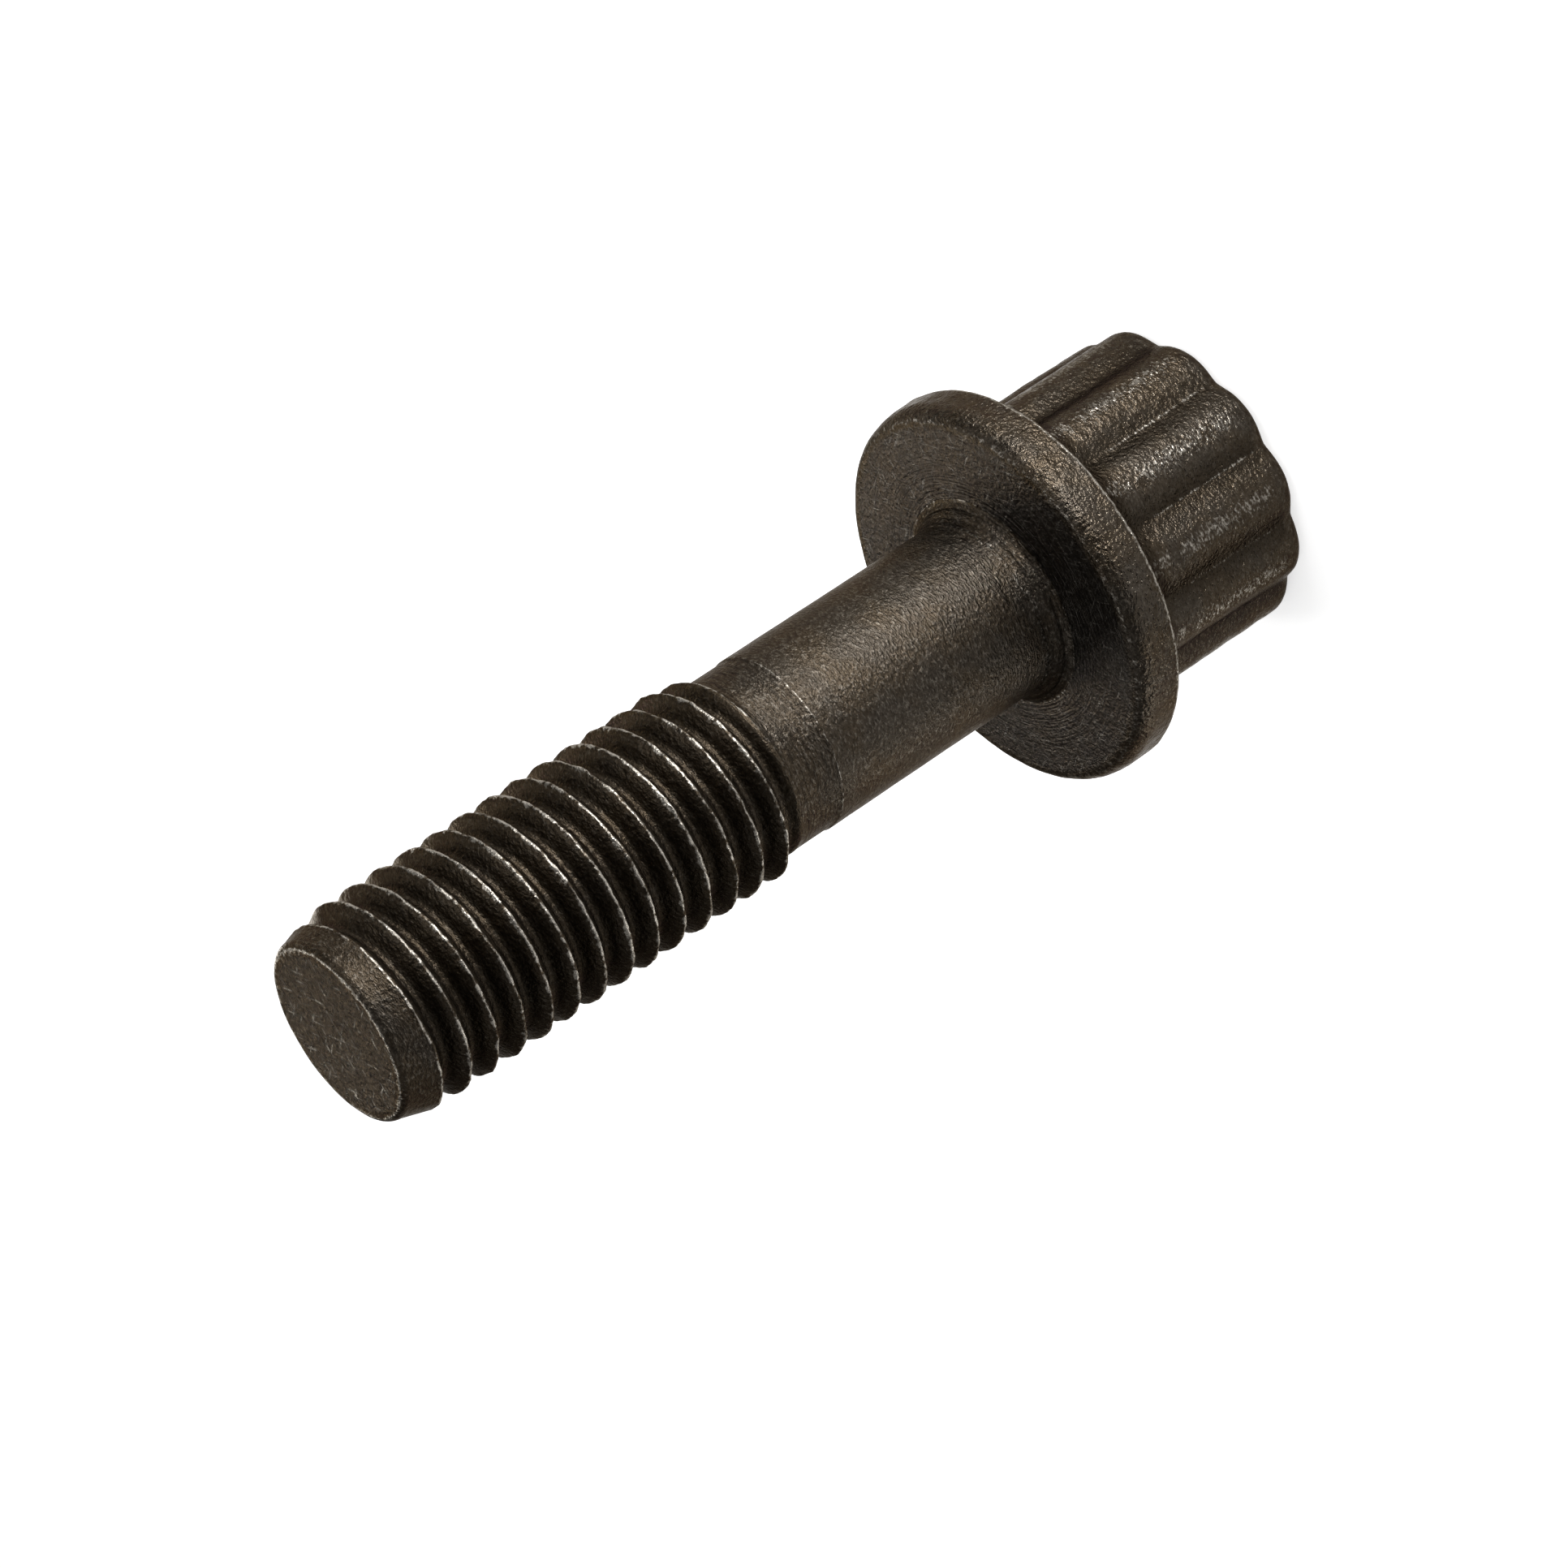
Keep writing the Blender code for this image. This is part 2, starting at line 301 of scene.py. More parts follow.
class Skin:
    """The bolt's surface as it is built: points, faces and, for each point, how it is finished."""

    def __init__(self):
        self.points = []
        self.faces = []
        self.masks = {name: [] for name in MASKS}

    def add(self, radius, angle, z, **masks):
        self.points.append((radius * cos(angle) * MM, radius * sin(angle) * MM, z * MM))
        for name in MASKS:
            self.masks[name].append(masks.get(name, 0.0))
        return len(self.points) - 1

    def ring(self, radius, z, **masks):
        """A ring of points. The radius and the masks are numbers, or functions of the angle."""
        made = []
        for i in range(SIDES):
            angle = THREAD_START_ANGLE + 2 * pi * i / SIDES
            here = radius(angle) if callable(radius) else radius
            values = {name: value(angle) if callable(value) else value for name, value in masks.items()}
            made.append(self.add(here, angle, z, **values))
        return made

    def join(self, rings):
        for lower, upper in zip(rings, rings[1:]):
            for i in range(len(lower)):
                j = (i + 1) % len(lower)
                self.faces.append((lower[i], lower[j], upper[j], upper[i]))


def quarter_arc(start, end, steps, leaves_along_z):
    """Points of a quarter ellipse from start to end, both (radius, z), without the start."""
    points = []
    for step in range(1, steps + 1):
        turn = radians(90) * step / steps
        fast = sin(turn)
        slow = 1 - cos(turn)
        radial, axial = (slow, fast) if leaves_along_z else (fast, slow)
        radius = start[0] + (end[0] - start[0]) * radial
        z = start[1] + (end[1] - start[1]) * axial
        points.append((radius, z))
    return points


def straight(start, end, steps):
    """Points of a straight run from start to end, both (radius, z), without the start."""
    return [tuple(a + (b - a) * i / steps for a, b in zip(start, end)) for i in range(1, steps + 1)]


def from_valley(angle):
    """Angle from the nearest valley between two points of the head."""
    return abs(angle % SECTOR - SECTOR / 2)


def lobe_radius(angle):
    """Radius of the head's outline: twelve points from two crossed hexagons, rounded in and out."""
    away = from_valley(angle)
    from_point = SECTOR / 2 - away
    flat_distance = ACROSS_FLATS / 2

    point_centre = POINTS_REACH - POINT_RADIUS
    point_end = POINT_RADIUS * sin(SECTOR)
    if from_point < atan2(point_end, point_centre + POINT_RADIUS * cos(SECTOR)):
        half_chord = sqrt(POINT_RADIUS**2 - (point_centre * sin(from_point)) ** 2)
        return point_centre * cos(from_point) + half_chord

    valley_centre = (flat_distance + VALLEY_RADIUS) / cos(SECTOR / 2)
    valley_end = VALLEY_RADIUS * sin(SECTOR / 2)
    if away < atan2(valley_end, valley_centre - VALLEY_RADIUS * cos(SECTOR / 2)):
        half_chord = sqrt(VALLEY_RADIUS**2 - (valley_centre * sin(away)) ** 2)
        return valley_centre * cos(away) - half_chord
    return flat_distance / cos(SECTOR - from_point)


def ridge(angle):
    """The forging's fine flash line along the bottom of each valley, stronger in some than in others."""
    valley = angle // SECTOR
    strength = smooth_step(0.6 + 1.6 * noise.noise(Vector((valley * 3.7, 0.5, 0))))
    return strength * bell(from_valley(angle), 2 * pi / SIDES)


def valley_draft(angle):
    """How much deeper the die has pressed the valleys, away from the head's end."""
    return VALLEY_DRAFT * bell(from_valley(angle), VALLEY_TURN)


def valley_painted_shade(angle):
    """Painted shade in the valleys of the head: their colour is darkened where shade falls between the
    points.
    """
    return bell(from_valley(angle), VALLEY_TURN)


def point_wear_and_highlight(angle):
    """The points of the head, where the spanner bears, are rubbed a little, and this lighter colour is
    also a painted highlight along each point.
    """
    return POINT_WEAR_AND_HIGHLIGHT * bell(SECTOR / 2 - from_valley(angle), POINT_WEAR_AND_HIGHLIGHT_TURN)


def end_rings(skin):
    """Flat end of the head and its rounded edge."""
    rings = []
    for share in (0.02, 0.35, 0.7, 0.92):
        rings.append(skin.ring(lambda t: (lobe_radius(t) - END_ROUNDING) * share, 0.0))
    for step in range(END_STEPS + 1):
        turn = radians(90) * step / END_STEPS
        inset = END_ROUNDING * (1 - sin(turn))
        z = END_ROUNDING * (1 - cos(turn))
        rings.append(skin.ring(lambda t: lobe_radius(t) - inset, z, forged=step / END_STEPS))
    return rings


def side_rings(skin):
    """Twelve-point sides of the head, with flash lines in valleys that deepen towards the foot, painted
    shade in the valleys and painted highlights on the points.
    """
    length = FOOT_Z - FOOT_HEIGHT - END_ROUNDING
    rings = []
    for step in range(1, SIDE_STEPS):
        along = step / SIDE_STEPS
        kept = smooth_step(along / RIDGE_FADE_AT_END) * smooth_step((1 - along) / RIDGE_FADE_AT_FOOT)
        pressed = smooth_step(along / DRAFT_REACH)
        rings.append(skin.ring(
            lambda t: lobe_radius(t) + kept * FLASH_RIDGE * ridge(t) - pressed * valley_draft(t),
            END_ROUNDING + length * along,
            forged=lambda t: 1 - RIDGE_SMOOTHNESS * kept * ridge(t),
            # Painted highlight along the points, with their wear
            worn=lambda t: kept * max(RIDGE_WEAR * ridge(t), point_wear_and_highlight(t)),
            # Painted shade darkens the valleys
            deep=valley_painted_shade))
    return rings


def foot_rings(skin):
    """The head's foot, which flares from the twelve-point sides into the flange, with painted shade in
    the corner towards the flange.
    """
    rings = []
    for step in range(FOOT_STEPS + 1):
        turn = radians(90) * step / FOOT_STEPS
        pointed = cos(turn)
        # Painted shade in the corner where the foot meets the flange, darkest next to the flange
        corner_painted_shade = smooth_step((step - 1) / FOOT_SHADE_STEPS)
        rings.append(skin.ring(
            lambda t: FOOT_EDGE + (lobe_radius(t) - valley_draft(t) - FOOT_EDGE) * pointed,
            FOOT_Z - FOOT_HEIGHT * (1 - sin(turn)),
            forged=1.0,
            # Painted highlight along the points, with their wear
            worn=lambda t: point_wear_and_highlight(t) * pointed,
            # Painted shade in the valleys and in the corner towards the flange
            deep=lambda t: max(valley_painted_shade(t), corner_painted_shade)))
    return rings


def flange_rings(skin):
    """Sloping back, rounded rim and flat bearing face down to the start of the fillet, with painted shade
    on the back next to the head's foot.
    """
    rings = []
    for r, z in straight((FOOT_EDGE, FOOT_Z), BACK_EDGE, BACK_STEPS):
        # Painted shade on the flange's back next to the head's foot
        rings.append(skin.ring(r, z, forged=1.0, deep=bell(r - FOOT_EDGE, 0.4)))
    for step, (r, z) in enumerate(quarter_arc(BACK_EDGE, RIM_START, RIM_BACK_STEPS, False)):
        rings.append(skin.ring(r, z, forged=1.0, worn=RIM_BACK_WEAR * bell(step - 3, 2)))
    for r, z in straight(RIM_START, RIM_END, RIM_STEPS):
        rings.append(skin.ring(r, z, forged=1.3))
    for step, (r, z) in enumerate(quarter_arc(RIM_END, BEARING_EDGE, RIM_FRONT_STEPS, True)):
        worn = RIM_FRONT_WEAR * bell(step - 6, 3)
        rings.append(skin.ring(r, z, forged=1.2 - step / RIM_FRONT_STEPS, worn=worn))
    for r, z in straight(BEARING_EDGE, FILLET_START, BEARING_STEPS):
        near_fillet = bell(r - FILLET_START[0], TURNING_SPREAD)
        rings.append(skin.ring(r, z, turned=0.6 + near_fillet, forged=0.15, scuffed=0.5))
    return rings


def fillet_rings(skin):
    """Fillet under the head, with turned rings that fade at both of its ends, a rubbed band at its start
    and a painted highlight band higher up.
    """
    middle = FILLET_STEPS / 2
    rings = []
    for step, (r, z) in enumerate(quarter_arc(FILLET_START, FILLET_END, FILLET_STEPS, False)):
        uneven = noise.noise(Vector((step * TURNING_CHANGE, 0.5, 0)))
        groove = TURNING_DEPTH * uneven * bell(step - middle, middle)
        low_band = FILLET_START_WEAR * bell(step, 4)
        # Painted highlight band towards the fillet's shank end
        painted_highlight_band = FILLET_PAINTED_HIGHLIGHT * bell(step - 0.7 * FILLET_STEPS, 0.2 * FILLET_STEPS)
        rings.append(skin.ring(
            r + groove, z + groove, turned=0.9, forged=0.2, worn=max(low_band, painted_highlight_band)))
    return rings


def shank_rings(skin):
    """Plain shank, its rubbed shoulder and the step down to the neck."""
    rings = []
    for r, z in straight(FILLET_END, SHOULDER_START, SHANK_STEPS) + straight(SHOULDER_START, SHOULDER, 2):
        near_fillet = smooth_step(1 - (z - FILLET_END[1]) / TURNING_SPREAD)
        shoulder = bell(z - NECK_Z, NECK_STEP_LENGTH / 2)
        rings.append(skin.ring(r, z, forged=0.25, turned=near_fillet, worn=SHOULDER_WEAR * shoulder))
    for r, z in straight(SHOULDER, NECK_START, 2):
        rings.append(skin.ring(r, z, turned=1.0))
    return rings


def thread_height(offset):
    """How far a place across the thread stands above its root, 0 to 1, with its edges rounded.

    The offset runs towards the tip from the edge of a crest that faces the tip.
    """
    steps = (-1.0, -0.5, 0.0, 0.5, 1.0)
    total = 0.0
    for step in steps:
        place = (offset + CREST_WIDTH / 2 + step * THREAD_ROUNDING) % THREAD_PITCH
        from_crest = min(place, THREAD_PITCH - place)
        total += min(max(1 - (from_crest - CREST_WIDTH / 2) / FLANK_LENGTH, 0.0), 1.0)
    return total / len(steps)


def thread_point(skin, from_tip, offset, turns_from_start, angle, z):
    """Adds a point of the thread, which fades in at the tip and runs out at the neck."""
    lead = LEAD_START_RADIUS + (from_tip - TIP_ROUNDING_LENGTH) * tan(LEAD_SLOPE)
    crest = min(CREST_RADIUS, lead)
    root = min(ROOT_RADIUS, crest)
    depth = smooth_step(turns_from_start / GROOVE_FADE_TURNS)
    height = thread_height(offset)
    full = crest + (root - crest) * depth * (1 - height)
    kept = smooth_step((THREADED_LENGTH - from_tip) / RUNOUT_LENGTH)
    radius = NECK_RADIUS + (full - NECK_RADIUS) * kept

    place = Vector((radius * cos(angle), radius * sin(angle), z))
    top = smooth_step((height - 0.6) / 0.4) * kept
    nicks = noise.noise(place * NICK_SCALE) + FINE_NICK_SHARE * noise.noise(place * FINE_NICK_SCALE)
    radius += CREST_NICKS * top * nicks
    z += CREST_WAVE * top * noise.noise(place * WAVE_SCALE + Vector((9, 0, 0)))
    # Darker towards the root of the thread
    groove_dark = GROOVE_DARKENING * depth * kept * (1 - height)
    return skin.add(
        radius, angle, z, threaded=depth * min(2.5 * kept, 1.0), deep=groove_dark, turned=1 - kept)


def thread_columns(skin):
    """The thread as columns of points, each a step round the axis and a step up the helix.

    The first column goes on for one more turn, because it is also the column after the last. Where the
    thread has run out, the points are pressed together along the neck, so that it ends before the neck.
    """
    parts = ((FLANK_LENGTH, 4), (ROOT_WIDTH, 2), (FLANK_LENGTH, 4), (CREST_WIDTH, 2))
    offsets = []
    start = 0.0
    for length, steps in parts:
        offsets += [start + length * i / steps for i in range(steps)]
        start += length

    squeeze = (NECK_LENGTH - NECK_STEP_LENGTH) / (HELIX_REACH + THREAD_PITCH - THREADED_LENGTH)
    columns = []
    for i in range(SIDES):
        share = i / SIDES
        angle = THREAD_START_ANGLE + 2 * pi * share
        rounds = TURNS + 1 if i == 0 else TURNS
        column = []
        for k in range(rounds * len(offsets) + 1):
            turn, corner = divmod(k, len(offsets))
            from_tip = HELIX_REACH - THREAD_PITCH * (turn + share) - offsets[corner]
            past = max(from_tip - THREADED_LENGTH, 0.0)
            z = TIP_Z - from_tip + past * (1 - squeeze)
            column.append(thread_point(
                skin, from_tip, offsets[corner], TURNS - turn - share, angle, z))
        columns.append(column)
    return columns, len(offsets)


def join_thread(skin, columns, per_turn, neck_ring, lead_ring):
    """Joins the columns into the helix, and its first and last turn to the rings beside them."""
    last = SIDES - 1
    length = len(columns[last])
    for i, column in enumerate(columns):
        following = columns[0][per_turn:] if i == last else columns[i + 1]
        for k in range(length - 1):
            skin.faces.append((column[k], following[k], following[k + 1], column[k + 1]))
    for i in range(last):
        skin.faces.append((neck_ring[i], neck_ring[i + 1], columns[i + 1][0], columns[i][0]))
    seam = columns[0][: per_turn + 1]
    for k in range(per_turn):
        skin.faces.append((neck_ring[0], seam[k + 1], seam[k]))
    skin.faces.append((neck_ring[last], neck_ring[0], seam[per_turn], columns[last][0]))

    top = [column[length - 1] for column in columns]
    for i in range(1, last):
        skin.faces.append((top[i], top[i + 1], lead_ring[i + 1], lead_ring[i]))
    seam = columns[0][-per_turn - 1:]
    skin.faces.append((seam[0], top[1], lead_ring[1], lead_ring[0]))
    for k in range(per_turn):
        skin.faces.append((seam[k], lead_ring[0], seam[k + 1]))
    skin.faces.append((top[last], seam[-1], lead_ring[0], lead_ring[last]))


def tip_rings(skin):
    """Rounded edge and flat face of the tip, from the bevelled lead to the axis."""
    rings = [skin.ring(*LEAD_START, forged=0.3, worn=LEAD_WEAR)]
    for step, (r, z) in enumerate(quarter_arc(LEAD_START, TIP_EDGE, TIP_EDGE_STEPS, True)):
        rings.append(skin.ring(r, z, forged=0.3, worn=TIP_EDGE_WEAR * bell(step - 6, 2.5)))
    for r, z in straight(TIP_EDGE, (TIP_CENTRE_RADIUS, TIP_Z), TIP_FACE_STEPS):
        rings.append(skin.ring(r, z, forged=0.8, scuffed=1.0))
    return rings


def roughen(mesh):
    """Moves points a little along their normals, as forging and handling leave a surface."""
    forged = mesh.attributes["forged"].data
    moves = []
    for vertex in mesh.vertices:
        place = vertex.co / MM
        wave = noise.noise(place * FORGE_SCALE) + 0.5 * noise.noise(place * FINE_FORGE_SCALE)
        moves.append(vertex.normal * wave * forged[vertex.index].value * FORGE_DEPTH * MM)
    for vertex, move in zip(mesh.vertices, moves):
        vertex.co += move


def build_bolt(material):
    """The whole bolt as one closed mesh, from the head's flat end to the tip."""
    skin = Skin()
    head = end_rings(skin) + side_rings(skin) + foot_rings(skin)
    rings = head + flange_rings(skin) + fillet_rings(skin) + shank_rings(skin)
    columns, per_turn = thread_columns(skin)
    tip = tip_rings(skin)
    skin.faces.append(tuple(reversed(rings[0])))
    skin.join(rings)
    join_thread(skin, columns, per_turn, rings[-1], tip[0])
    skin.join(tip)
    skin.faces.append(tuple(tip[-1]))

    mesh = bpy.data.meshes.new("bolt_steel")
    mesh.from_pydata(skin.points, [], skin.faces)
    for name in MASKS:
        attribute = mesh.attributes.new(name, "FLOAT", "POINT")
        attribute.data.foreach_set("value", skin.masks[name])
    mesh.shade_smooth()
    roughen(mesh)
    mesh.materials.append(material)
    bolt = bpy.data.objects.new("bolt_steel", mesh)
    bpy.context.scene.collection.objects.link(bolt)
    return bolt


class Nodes:
    """Short calls that add nodes to a material and join them."""

    def __init__(self, tree):
        self.tree = tree

    def add(self, kind, *sockets, **settings):
        made = self.tree.nodes.new(kind)
        for name, value in settings.items():
            setattr(made, name, value)
        for index, value in enumerate(sockets):
            self.put(made.inputs[index], value)
        return made

    def put(self, socket, value):
        if isinstance(value, bpy.types.NodeSocket):
            self.tree.links.new(value, socket)
        else:
            socket.default_value = value

    def math(self, operation, *values):
        return self.add("ShaderNodeMath", *values, operation=operation).outputs[0]

    def times(self, first, second):
        return self.math("MULTIPLY", first, second)

    def mask(self, name):
        return self.add("ShaderNodeAttribute", attribute_name=name).outputs["Fac"]

    def scaled(self, vector, scale):
        """The vector with each axis multiplied."""
        return self.add("ShaderNodeVectorMath", vector, scale, operation="MULTIPLY").outputs[0]

    def noise(self, vector, scale, roughness=COARSE_NOISE):
        made = self.add("ShaderNodeTexNoise", noise_dimensions="3D")
        self.put(made.inputs["Vector"], vector)
        self.put(made.inputs["Scale"], scale)
        self.put(made.inputs["Detail"], NOISE_DETAIL)
        self.put(made.inputs["Roughness"], roughness)
        return made.outputs["Fac"]

    def remap(self, value, low, high, new_low=0.0, new_high=1.0, kind="SMOOTHSTEP"):
        return self.add(
            "ShaderNodeMapRange", value, low, high, new_low, new_high, interpolation_type=kind
        ).outputs[0]

    def mix(self, factor, first, second):
        made = self.add("ShaderNodeMix", data_type="RGBA")
        self.put(made.inputs[0], factor)
        self.put(made.inputs[6], first)
        self.put(made.inputs[7], second)
        return made.outputs[2]


def crest_distance(nodes, height, angle):
    """Distance of a place on the thread from the middle of the nearest crest, along the axis."""
    half_pitch = THREAD_PITCH / 2
    shift = HELIX_REACH - TIP_Z + CREST_WIDTH / 2 + half_pitch
    shift += THREAD_PITCH * THREAD_START_ANGLE / (2 * pi)
    climbed = nodes.times(angle, -THREAD_PITCH / (2 * pi))
    place = nodes.math("ADD", nodes.math("ADD", height, shift), climbed)
    place = nodes.math("FLOORED_MODULO", place, THREAD_PITCH)
    return nodes.math("ABSOLUTE", nodes.math("SUBTRACT", place, half_pitch))


def scratches(nodes, place):
    """Short straight scratches that run several ways across a face square to the axis."""
    lines = 0.0
    for turn in STREAK_TURNS:
        turned = nodes.add("ShaderNodeVectorRotate", rotation_type="Z_AXIS")
        nodes.put(turned.inputs["Vector"], place)
        turned.inputs["Angle"].default_value = radians(turn)
        streaks = nodes.noise(nodes.scaled(turned.outputs[0], STREAK_DENSITY), 1.0, 0.5)
        lines = nodes.math("MAXIMUM", lines, nodes.remap(streaks, *STREAK_BAND))
    return lines


def steel_textures(nodes, mask):
    """The textures that the steel's colour, roughness and bumps share."""
    place = nodes.add("ShaderNodeTexCoord").outputs["Object"]
    place = nodes.scaled(place, (1 / MM, 1 / MM, 1 / MM))
    x, y, height = nodes.add("ShaderNodeSeparateXYZ", place).outputs
    angle = nodes.math("ARCTAN2", y, x)
    radius = nodes.math("SQRT", nodes.math(
        "ADD", nodes.math("POWER", x, 2.0), nodes.math("POWER", y, 2.0)))
    round_axis = nodes.add(
        "ShaderNodeCombineXYZ", radius, nodes.times(angle, RING_TURN_SCALE), height).outputs[0]
    blotchy = nodes.math("MAXIMUM", nodes.math("MAXIMUM", mask.threaded, mask.forged), mask.scuffed)
    return SimpleNamespace(
        grain=nodes.noise(nodes.scaled(place, GRAIN_DENSITY), GRAIN_SCALE, HARD_NOISE),
        grain_share=nodes.math("MULTIPLY_ADD", blotchy, -0.5, 1.0),
        peel=nodes.noise(place, PEEL_SCALE),
        pits=nodes.noise(place, PIT_SCALE),
        tint=nodes.noise(place, TINT_SCALE),
        rings=nodes.noise(round_axis, RING_SCALE, HARD_NOISE),
        marks=nodes.times(scratches(nodes, place), mask.scuffed),
        wander=nodes.noise(place, WANDER_SCALE),
        breaks=nodes.noise(place, BREAK_SCALE),
        from_crest=crest_distance(nodes, height, angle))


def oxide_colour(nodes, mask, texture):
    """Brown-black oxide: mottled, pitted and grainy, darker towards the thread's roots, with painted
    shade in the head's valleys and corners, and greyer where scuffed.
    """
    oxide = nodes.mix(nodes.remap(texture.tint, *TINT_BAND), WARM_OXIDE, COOL_OXIDE)
    oxide = nodes.mix(nodes.times(mask.threaded, THREAD_OXIDE_SHARE), oxide, THREAD_OXIDE)
    pitted = nodes.math("MULTIPLY_ADD", mask.forged, FORGED_PIT_SHARE, PIT_SHARE)
    oxide = nodes.mix(nodes.times(nodes.remap(texture.pits, *PIT_BAND), pitted), oxide, PIT_OXIDE)

    pale = nodes.times(texture.grain_share, PALE_GRAIN_SHARE)
    pale = nodes.times(nodes.remap(texture.grain, *PALE_GRAIN_BAND), pale)
    oxide = nodes.mix(pale, oxide, PALE_GRAIN)
    dark = nodes.times(texture.grain_share, DARK_GRAIN_SHARE)
    dark = nodes.times(nodes.remap(texture.grain, *DARK_GRAIN_BAND), dark)
    oxide = nodes.mix(dark, oxide, DARK_GRAIN)

    cut = nodes.math("MAXIMUM", mask.turned, nodes.times(mask.threaded, 0.6))
    cut = nodes.times(cut, nodes.remap(texture.rings, *RING_BAND))
    oxide = nodes.mix(nodes.times(cut, TURNED_LINES_SHARE), oxide, TURNED_LINES)
    # Painted shade in the head's valleys and corners, and darker towards the thread's roots
    oxide = nodes.mix(nodes.times(mask.deep, SHADE_AND_GROOVE_DARK_SHARE), oxide, SHADE_AND_GROOVE_DARK)
    oxide = nodes.mix(nodes.times(mask.scuffed, SCUFFED_SHARE), oxide, SCUFFED_OXIDE)
    return nodes.mix(texture.marks, oxide, SCRATCH)


def rubbed_and_highlight_share(nodes, mask, texture):
    """Where the oxide is rubbed through to bright steel: rubbed edges, a broken line on the crests, and
    painted highlights on the head's points and fillet.
    """
    wander = nodes.times(nodes.math("SUBTRACT", texture.wander, 0.5), CREST_WANDER)
    from_crest = nodes.math("ADD", texture.from_crest, wander)
    crest = nodes.remap(from_crest, CREST_RUB, CREST_FULL_RUB, 0.0, MOST_RUB, "LINEAR")
    crest = nodes.times(crest, nodes.remap(texture.breaks, *BREAK_BAND, BROKEN_RUB, 1.0))
    edges = nodes.math("MAXIMUM", mask.worn, nodes.times(crest, mask.threaded))
    return nodes.remap(nodes.math("ADD", edges, nodes.times(texture.grain, GRAIN_RUB)), *RUBBED_BAND)


def steel_roughness(nodes, mask, texture, rubbed):
    """Uneven roughness, smoother where the steel is forged, turned or rubbed."""
    rough = nodes.remap(texture.pits, *ROUGHNESS_BAND, *ROUGHNESS_RANGE)
    glosses = ((mask.forged, FORGED_GLOSS), (mask.turned, TURNED_GLOSS), (rubbed, RUBBED_GLOSS))
    for share, gloss in glosses:
        rough = nodes.math("MULTIPLY_ADD", share, -gloss, rough)
    return rough


def steel_bumps(nodes, mask, texture):
    """Height of the finish: fine grain, the forging's peel, turned rings and scratches."""
    bumps = nodes.times(nodes.times(texture.grain, texture.grain_share), GRAIN_BUMP)
    layers = (
        (nodes.times(mask.forged, texture.peel), FORGED_BUMP),
        (nodes.times(mask.threaded, texture.peel), THREAD_BUMP),
        (nodes.times(mask.turned, texture.rings), TURNED_BUMP),
        (texture.marks, SCRATCH_BUMP))
    for height, weight in layers:
        bumps = nodes.math("MULTIPLY_ADD", height, weight, bumps)
    return bumps


def blackened_steel():
    """Brown-black oxide, darker towards the thread's roots, with painted shade in the head's valleys and
    corners, grainy on the shank, rubbed to bright steel on edges, with painted highlights on the head's
    points and the fillet.
    """
    material = bpy.data.materials.new("blackened_steel")
    material.use_nodes = True
    nodes = Nodes(material.node_tree)
    shader = material.node_tree.nodes["Principled BSDF"]
    mask = SimpleNamespace(**{name: nodes.mask(name) for name in MASKS})
    texture = steel_textures(nodes, mask)
    # Share of rubbed steel, which also holds the painted highlights on the head's points and fillet
    rubbed = rubbed_and_highlight_share(nodes, mask, texture)

    colour = nodes.mix(rubbed, oxide_colour(nodes, mask, texture), RUBBED_STEEL_AND_HIGHLIGHT)
    nodes.put(shader.inputs["Base Color"], colour)
    nodes.put(shader.inputs["Roughness"], steel_roughness(nodes, mask, texture, rubbed))
    shader.inputs["Metallic"].default_value = METAL_SHARE
    shader.inputs["Specular Tint"].default_value = SHEEN_TINT

    bump = nodes.add("ShaderNodeBump")
    bump.inputs["Strength"].default_value = 1.0
    bump.inputs["Distance"].default_value = BUMP_DEPTH * MM
    nodes.put(bump.inputs["Height"], steel_bumps(nodes, mask, texture))
    nodes.put(shader.inputs["Normal"], bump.outputs[0])
    return material


def floor_white():
    """Plain white paint. To the camera and in reflections it is lifted to the photograph's white."""
    material = bpy.data.materials.new("floor_white")
    material.use_nodes = True
    nodes = Nodes(material.node_tree)
    paint = nodes.add("ShaderNodeBsdfDiffuse", FLOOR_PAINT)
    path = nodes.add("ShaderNodeLightPath").outputs
    seen = nodes.math("MAXIMUM", path["Is Camera Ray"], nodes.math(
        "MAXIMUM", path["Is Glossy Ray"], path["Is Transmission Ray"]))
    glow = nodes.add("ShaderNodeEmission", (1, 1, 1, 1), nodes.times(seen, FLOOR_LIFT))
    both = nodes.add("ShaderNodeAddShader", paint.outputs[0], glow.outputs[0])
    nodes.put(material.node_tree.nodes["Material Output"].inputs["Surface"], both.outputs[0])
    return material


def build_floor():
    """A flat square floor, far larger than the bolt."""
    mesh = bpy.data.meshes.new("floor")
    half = FLOOR_HALF_M
    corners = [(-half, -half, 0), (half, -half, 0), (half, half, 0), (-half, half, 0)]
    mesh.from_pydata(corners, [], [(0, 1, 2, 3)])
    mesh.materials.append(floor_white())
    floor = bpy.data.objects.new("floor", mesh)
    bpy.context.scene.collection.objects.link(floor)
    return floor


def add_camera():
    """A plain camera at the photograph's angle, distance and roll."""
    forward = Vector((
        cos(CAMERA_HEADING) * cos(CAMERA_DIP), sin(CAMERA_HEADING) * cos(CAMERA_DIP), -sin(CAMERA_DIP)))
    data = bpy.data.cameras.new("camera")
    data.lens = CAMERA_LENS
    data.sensor_width = SENSOR
    data.clip_start = CLIP_START_M
    camera = bpy.data.objects.new("camera", data)
    level = forward.to_track_quat("-Z", "Y")
    turn = level @ Quaternion((0, 0, 1), CAMERA_ROLL)
    place = (CAMERA_AIM - forward * CAMERA_DISTANCE) * MM
    camera.matrix_world = Matrix.Translation(place) @ turn.to_matrix().to_4x4()
    bpy.context.scene.collection.objects.link(camera)
    bpy.context.scene.camera = camera


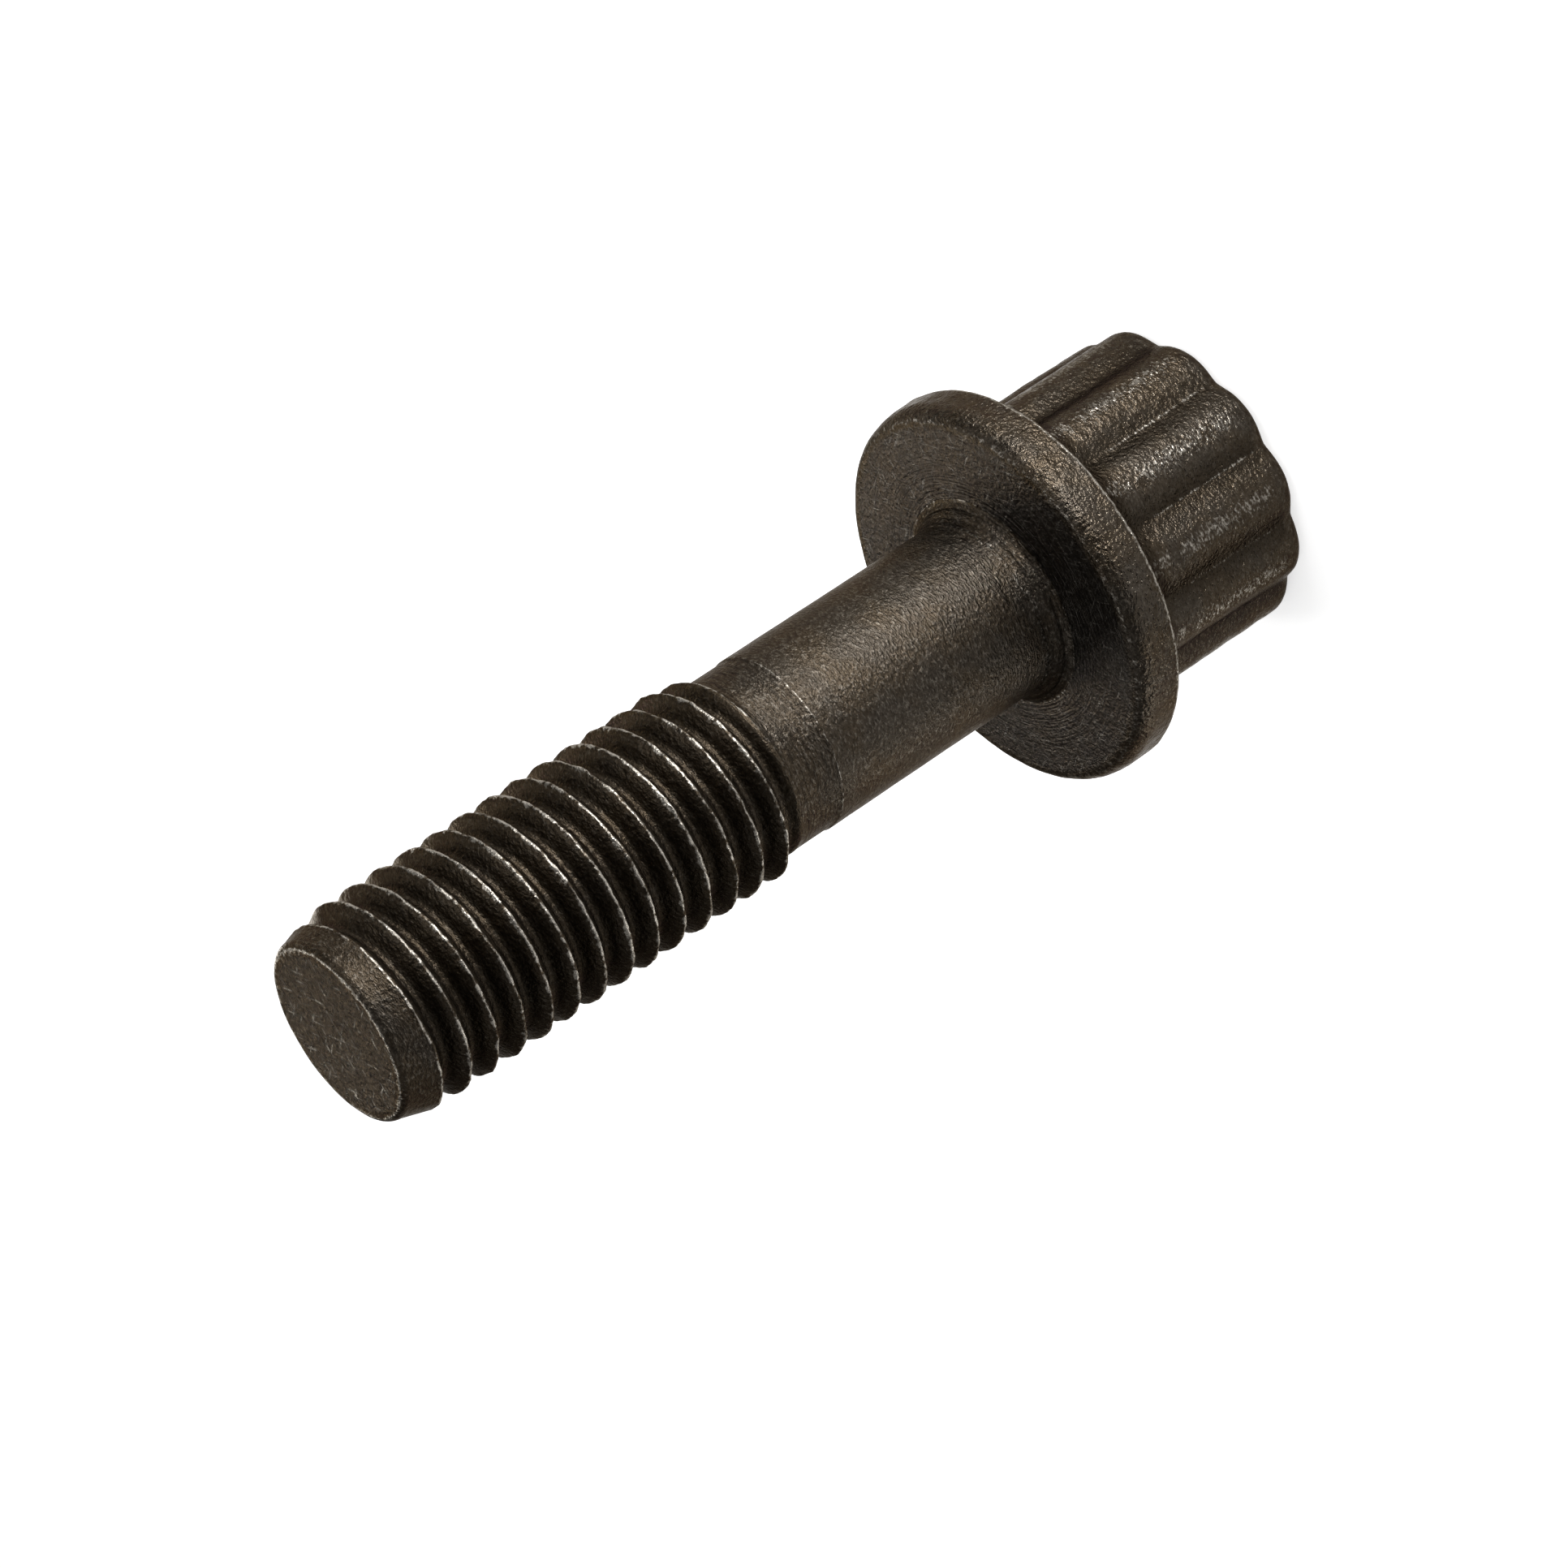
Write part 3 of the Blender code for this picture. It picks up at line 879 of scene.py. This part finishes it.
def add_lamp(name, heading, distance, height, size, watts):
    """A soft box that faces the bolt. Its size is (across, tall), and its heading is in degrees."""
    data = bpy.data.lights.new(name, "AREA")
    data.shape = "RECTANGLE"
    data.size, data.size_y = (length * MM for length in size)
    data.energy = watts
    lamp = bpy.data.objects.new(name, data)
    lamp.visible_camera = False
    place = Vector((distance * cos(radians(heading)), distance * sin(radians(heading)), height))
    aim = Vector((0, 0, min(height, TIP_Z / 2)))
    turn = (place - aim).to_track_quat("Z", "Y")
    lamp.matrix_world = Matrix.Translation(place * MM) @ turn.to_matrix().to_4x4()
    bpy.context.scene.collection.objects.link(lamp)


def add_light():
    """Low lamps near the floor draw the long highlight of the dark steel. High ones light it softly.

    The last two stand close behind the bolt, for the two flat faces that mirror what is there.
    """
    add_lamp("key", -68, 160, 10, (50, 18), 0.19)
    add_lamp("middle_key", -68, 90, 9, LOW_BOX, 0.013)
    add_lamp("front_key", -83, 90, 9, LOW_BOX, 0.013)
    add_lamp("near_key", -53, 45, 4, LOW_STRIP, 0.0092)
    add_lamp("fillet_key", -51, 160, 42, (40, 20), 0.055)
    add_lamp("side", 172, 45, 4, LOW_STRIP, 0.0042)
    add_lamp("edge", 172, 328, 254, PANEL, 0.06)
    add_lamp("soft", -38, 328, 254, PANEL, 0.08)
    add_lamp("high", -38, 188, 378, PANEL, 0.42)
    add_lamp("high_back", 142, 188, 378, PANEL, 0.14)
    add_lamp("back", 52, 328, 254, PANEL, 0.3)
    add_lamp("left", 33, 160, 60, (30, 20), 0.03)
    add_lamp("tip_back", 82, 61, 82, (20, 14), 0.009)
    add_lamp("flange_back", 67, 61, 41, (14, 12), 0.008)


def add_world():
    """An even grey all round, which fills the shadows."""
    world = bpy.data.worlds.new("studio")
    world.use_nodes = True
    world.node_tree.nodes["Background"].inputs["Color"].default_value = WORLD_GREY
    bpy.context.scene.world = world


def main():
    bolt = build_bolt(blackened_steel())
    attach(bolt, "root")
    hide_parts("bolt")
    build_floor()
    add_camera()
    add_light()
    add_world()
    bpy.context.scene.view_settings.view_transform = "Standard"


main()
